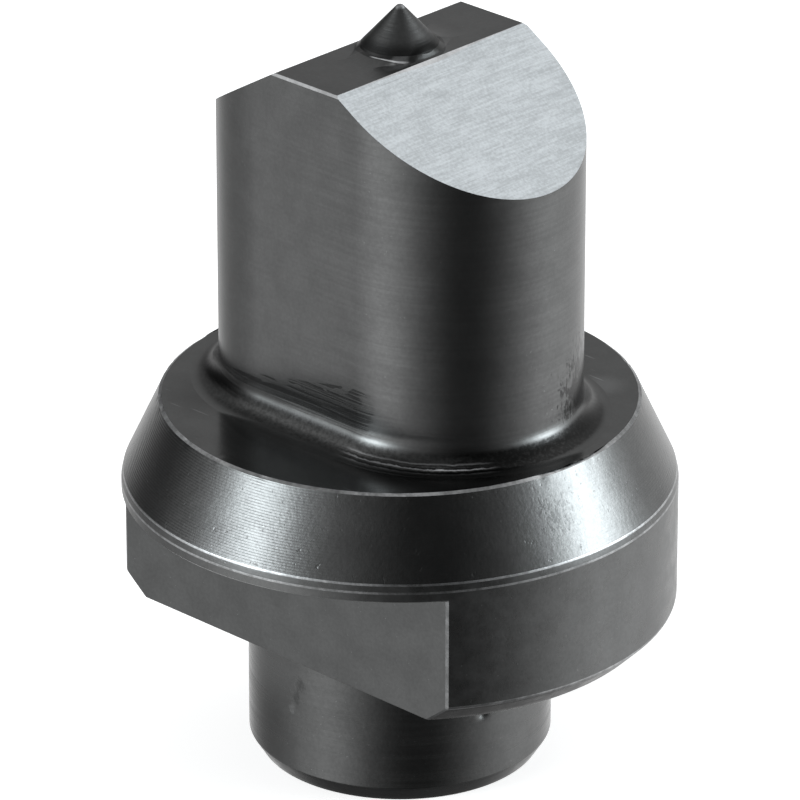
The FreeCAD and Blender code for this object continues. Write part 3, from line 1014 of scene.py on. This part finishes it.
def strip_oxide(name, finish):
    """The strip: faint lines along it, painted shade in the nib's foot, a painted highlight arc there, and a
    faint painted reflection in front of it.

    The arc is where the direction from the axis is near the arc's own, and the reach near its radius.
    """
    steel = Surface(name, finish)
    line_depth = 0.002
    lines = steel.noise((5.0, 0.3, 0.0), 2.0, 0.6)
    facing = (steel.x * math.sin(ARC_DIRECTION) + steel.y * -math.cos(ARC_DIRECTION)) / steel.reach
    painted_arc_highlight = steel.smooth(abs(steel.reach - ARC_RADIUS), 0.02, 0.07, 1.0, 0.0)
    painted_arc_highlight = steel.smooth(facing, 0.87, 0.95) * painted_arc_highlight
    painted_smear_x = (steel.x - PAINTED_SMEAR.x) / PAINTED_SMEAR.half_x
    painted_smear_y = (steel.y - PAINTED_SMEAR.y) / PAINTED_SMEAR.half_y
    painted_smear = steel.smooth(painted_smear_x * painted_smear_x + painted_smear_y * painted_smear_y, 0.3, 1.3, 1.0, 0.0)
    painted_smear = painted_smear * steel.smooth(steel.noise(2.0), 0.3, 0.6)
    # Painted shade in the hollow at the nib's foot; the arc and the reflection are painted with bare steel
    # made half again brighter.
    painted_foot_shade = steel.smooth(steel.reach, 2.3, 2.38, 0.7, 0.0)
    base = steel.toned(steel.oxide(), painted_foot_shade, 0.15)
    base = steel.rubbed_and_highlit(base, steel.greater(painted_smear * 0.2, painted_arc_highlight), 1.5)
    return steel.finished(base, finish.turned_roughness, lines * line_depth)


def nib_oxide(name, finish, form):
    """The nib: fine turned rings, a worn point that also carries a painted highlight, and painted shade at
    its foot and towards +X.
    """
    steel = Surface(name, finish)
    ring_depth = 0.02
    top = form.sizes.height / MM
    rings = steel.noise((0.3, 0.3, 9.0), 2.0, 0.6)
    rubbed_and_highlit = steel.smooth(steel.z, top - 0.22, top - 0.06)
    base = steel.rubbed_and_highlit(steel.oxide(0.74), rubbed_and_highlit * 0.5)
    # Painted shade at the nib's foot and on its +X side.
    painted_shade = steel.smooth(steel.z - form.strip_z / MM, 0.45, 1.0, 0.75, 0.0)
    painted_shade = steel.greater(painted_shade, steel.smooth(steel.x, 1.3, 1.8, 0.0, 0.97))
    base = steel.toned(base, painted_shade, 0.08)
    return steel.finished(base, finish.turned_roughness * 1.4, rings * ring_depth)


def worn_and_glint_edge(name, finish, least, most):
    """An edge where the oxide has worn off in places, with a painted glint line: from a least to a most
    share of bare steel.
    """
    steel = Surface(name, finish)
    relief = 0.004
    slow = steel.noise(0.45, 2.0, 0.6)
    quick = steel.noise(3.5, 3.0, 0.7)
    share = steel.smooth(slow * 0.55 + quick * 0.45, 0.36, 0.64, least, most)
    base = steel.rubbed_and_highlit(rgba(finish.oxide), share)
    return steel.finished(base, finish.turned_roughness, quick * relief)


def punch_materials(finish, form):
    """The piece's materials, in the order of FINISHES."""
    made = {
        "turned": turned_oxide("oxide_turned", finish),
        # The chamfer's tone of 0.1 is painted shade on the rim's downward chamfer.
        "chamfer": turned_oxide("oxide_chamfer", finish, 0.1),
        # The spigot's tone of 0.76 is painted shade from the flange above it.
        "spigot": spigot_oxide("oxide_spigot", finish, 0.76),
        # The lead-in's tone of 0.45 is painted shade on the spigot's downward chamfer.
        "lead_in": turned_oxide("oxide_lead_in", finish, 0.45),
        "cone": cone_oxide("oxide_cone", finish),
        "milled": milled_oxide("oxide_milled", finish, 0.84),
        "face": face_oxide("oxide_face", finish, form),
        "shank": shank_oxide("oxide_shank", finish, form),
        "ground": ground_steel("ground_steel", finish),
        "strip": strip_oxide("oxide_strip", finish),
        "nib": nib_oxide("oxide_nib", finish, form),
    }
    for edge, (least, most) in WORN_AND_GLINT_EDGES.items():
        made[edge] = worn_and_glint_edge(f"worn_{edge}", finish, least, most)
    return [made[name] for name in FINISHES]


class PUNCH_OT_body(bpy.types.Operator):
    """Makes the punch: one closed surface with its finishes"""

    bl_idname = "punch.body"
    bl_label = "Make the punch"

    def execute(self, context):
        scene = context.scene
        mesh = punch_mesh(scene.punch_sizes)
        for material in punch_materials(scene.punch_finish, Form(scene.punch_sizes)):
            mesh.materials.append(material)
        piece = bpy.data.objects.new("oval_punch_body", mesh)
        scene.collection.objects.link(piece)
        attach(piece, BODY)
        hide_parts(NODE)
        return {"FINISHED"}


# The width in millimetres that the focal length goes with.
SENSOR_WIDTH = 36.0
# The nearest and the furthest that the camera sees, as shares of its distance.
CLIP_START, CLIP_END = 0.1, 20


def add_camera(scene, studio):
    """The camera at the photograph's view, looking at a point on the axis."""
    azimuth, elevation = studio.camera_azimuth, studio.camera_elevation
    towards = np.array([
        math.sin(azimuth) * math.cos(elevation),
        -math.cos(azimuth) * math.cos(elevation),
        math.sin(elevation),
    ])
    data = bpy.data.cameras.new("camera")
    data.sensor_width = SENSOR_WIDTH
    data.lens = studio.focal_length
    data.clip_start = studio.camera_distance * CLIP_START
    data.clip_end = studio.camera_distance * CLIP_END
    camera = bpy.data.objects.new("camera", data)
    right = np.array([math.cos(azimuth), math.sin(azimuth), 0.0])
    up = np.cross(towards, right)
    eye = towards * studio.camera_distance + np.array([0.0, 0.0, studio.aim_height])
    camera.matrix_world = Matrix([*zip(right, up, towards, eye), (0.0, 0.0, 0.0, 1.0)])
    scene.collection.objects.link(camera)
    scene.camera = camera


# Soft lights of the studio: azimuth and elevation of the middle, half widths both ways, in degrees,
# and strength. Azimuths are measured as the camera's is. A strength below zero takes light away.
SoftLight = namedtuple("SoftLight", "azimuth elevation half_azimuth half_elevation strength")
PANELS = (
    SoftLight(-20.5, 14.0, 10.5, 8.5, 12.3),
    SoftLight(130.0, 12.0, 12.5, 10.0, 13.0),
)
GLOWS = (
    SoftLight(-14.0, -25.0, 20.0, 25.0, 0.82),
    SoftLight(138.0, -25.0, 26.0, 25.0, 0.62),
    SoftLight(-90.0, 3.0, 34.0, 15.0, -0.62),
    SoftLight(-82.0, -28.0, 26.0, 20.0, -0.4),
    SoftLight(174.0, 49.0, 28.0, 13.0, 1.15),
    SoftLight(-40.0, 4.0, 18.0, 6.0, 0.5),
    SoftLight(-57.0, 43.0, 18.0, 9.0, 0.9),
    SoftLight(0.0, 90.0, 360.0, 7.0, 0.9),
)
WHITE = (1.0, 1.0, 1.0, 1.0)
PANEL_COLOUR = (0.9, 0.97, 1.0, 1.0)
FLOOR_COLOUR = (0.8, 0.8, 0.8, 1.0)
# The light all round is darkest at this azimuth and as far aside as the first width, and brightest
# beyond the second one, all in degrees.
DARK_AZIMUTH = 58.7
DARK_WIDTH, BRIGHT_WIDTH = 6.0, 82.0
DARK_LEVEL, BRIGHT_LEVEL = 0.09, 0.98
OVERHEAD_LEVEL = 0.3
LEAST_LEVEL = 0.05


def turn_between(graph, azimuth, degrees):
    """The turn between an azimuth and one in degrees, the shorter way round."""
    aside = abs(azimuth - math.radians(degrees))
    return graph.maths("MINIMUM", aside, 2 * math.pi - aside)


def soft_lights(graph, azimuth, elevation, lights):
    """The strength of all these lights in a direction. Each one falls off evenly from its middle."""
    total = 0.0
    for soft in lights:
        aside = turn_between(graph, azimuth, soft.azimuth) / math.radians(soft.half_azimuth)
        above = (elevation - math.radians(soft.elevation)) / math.radians(soft.half_elevation)
        share = graph.maths("EXPONENT", (aside * aside + above * above) * -math.log(2))
        total = share * soft.strength + total
    return total


def smooth_degrees(graph, value, low, high, at_low=0.0, at_high=1.0):
    """Runs smoothly while an angle runs from low to high, which are in degrees."""
    return graph.smooth(value, math.radians(low), math.radians(high), at_low, at_high)


def light_all_round(graph, azimuth, elevation):
    """The light's level in a direction: dark on one side, dimmer overhead and far below, with glows."""
    aside = turn_between(graph, azimuth, DARK_AZIMUTH)
    level = smooth_degrees(graph, aside, DARK_WIDTH, BRIGHT_WIDTH, DARK_LEVEL, BRIGHT_LEVEL)
    behind = smooth_degrees(graph, aside, 85, 125)
    above = smooth_degrees(graph, elevation, -15, 12)
    level = level * (1 - behind * above * 0.45) - above * 0.04
    overhead = smooth_degrees(graph, elevation, 28, 60)
    below = smooth_degrees(graph, elevation, -62, -36, 0.25, 1.0)
    light = (level * (1 - overhead) + overhead * OVERHEAD_LEVEL) * below
    return graph.greater(light + soft_lights(graph, azimuth, elevation, GLOWS), LEAST_LEVEL)


def add_world(scene):
    """The studio's light: white where it is seen directly, and soft light and panels for the steel."""
    world = bpy.data.worlds.new("studio")
    world.use_nodes = True
    scene.world = world
    graph = Graph(world.node_tree)
    x, y, z = graph.parts(graph.node("ShaderNodeTexCoord", output="Generated"))
    azimuth = graph.maths("ARCTAN2", x, 0.0 - y)
    elevation = graph.maths("ARCSINE", z)
    around = graph.node("ShaderNodeBackground", {}, {
        "Color": WHITE, "Strength": light_all_round(graph, azimuth, elevation)})
    panels = graph.node("ShaderNodeBackground", {}, {
        "Color": PANEL_COLOUR, "Strength": soft_lights(graph, azimuth, elevation, PANELS)})
    studio = graph.node("ShaderNodeAddShader", {}, {0: around, 1: panels})
    white = graph.node("ShaderNodeBackground", {}, {"Color": WHITE, "Strength": 1.0})
    surface = graph.node("ShaderNodeMixShader", {}, {0: graph.seen_directly(), 1: studio, 2: white})
    graph.node("ShaderNodeOutputWorld", {}, {"Surface": surface})


def add_floor(scene, studio):
    """A plain pale floor under the end face. It keeps the punch's shadow, and is white beside it."""
    side, level = studio.floor_radius, -studio.floor_gap
    corners = [(-side, -side, level), (side, -side, level), (side, side, level), (-side, side, level)]
    mesh = bpy.data.meshes.new("floor")
    mesh.from_pydata(corners, [], [(0, 1, 2, 3)])
    material = bpy.data.materials.new("floor")
    material.use_nodes = True
    graph = Graph(material.node_tree)
    plain = graph.node("ShaderNodeBsdfDiffuse", {}, {"Color": FLOOR_COLOUR})
    lift = graph.node("ShaderNodeEmission", {}, {"Color": WHITE, "Strength": studio.floor_lift})
    lifted = graph.node("ShaderNodeAddShader", {}, {0: plain, 1: lift})
    surface = graph.node("ShaderNodeMixShader", {}, {0: graph.seen_directly(), 1: plain, 2: lifted})
    graph.node("ShaderNodeOutputMaterial", {}, {"Surface": surface})
    mesh.materials.append(material)
    floor = bpy.data.objects.new("floor", mesh)
    scene.collection.objects.link(floor)
    floor.visible_glossy = False
    floor.visible_shadow = False


class PUNCH_OT_stage(bpy.types.Operator):
    """Makes the floor, the soft light and the camera"""

    bl_idname = "punch.stage"
    bl_label = "Make the studio"

    def execute(self, context):
        scene = context.scene
        scene.view_settings.view_transform = "Standard"
        add_floor(scene, scene.punch_studio)
        add_world(scene)
        add_camera(scene, scene.punch_studio)
        return {"FINISHED"}


class PUNCH_PT_panel(bpy.types.Panel):
    """Sizes, finishes and studio of the oval punch"""

    bl_idname = "PUNCH_PT_panel"
    bl_label = "Oval punch"
    bl_space_type = "VIEW_3D"
    bl_region_type = "UI"
    bl_category = "Punch"

    def draw(self, context):
        scene = context.scene
        for group, operator in (
            (scene.punch_sizes, PUNCH_OT_body),
            (scene.punch_finish, None),
            (scene.punch_studio, PUNCH_OT_stage),
        ):
            box = self.layout.box()
            for name in group.__annotations__:
                box.prop(group, name)
            if operator:
                box.operator(operator.bl_idname)


GROUPS = {"punch_sizes": PunchSizes, "punch_finish": PunchFinish, "punch_studio": PunchStudio}
CLASSES = (*GROUPS.values(), PUNCH_OT_body, PUNCH_OT_stage, PUNCH_PT_panel)


def register():
    for made in CLASSES:
        bpy.utils.register_class(made)
    for name, group in GROUPS.items():
        setattr(bpy.types.Scene, name, bpy.props.PointerProperty(type=group))


def unregister():
    for name in GROUPS:
        delattr(bpy.types.Scene, name)
    for made in reversed(CLASSES):
        bpy.utils.unregister_class(made)


def main():
    register()
    bpy.ops.punch.body()
    bpy.ops.punch.stage()


if __name__ == "__main__":
    main()
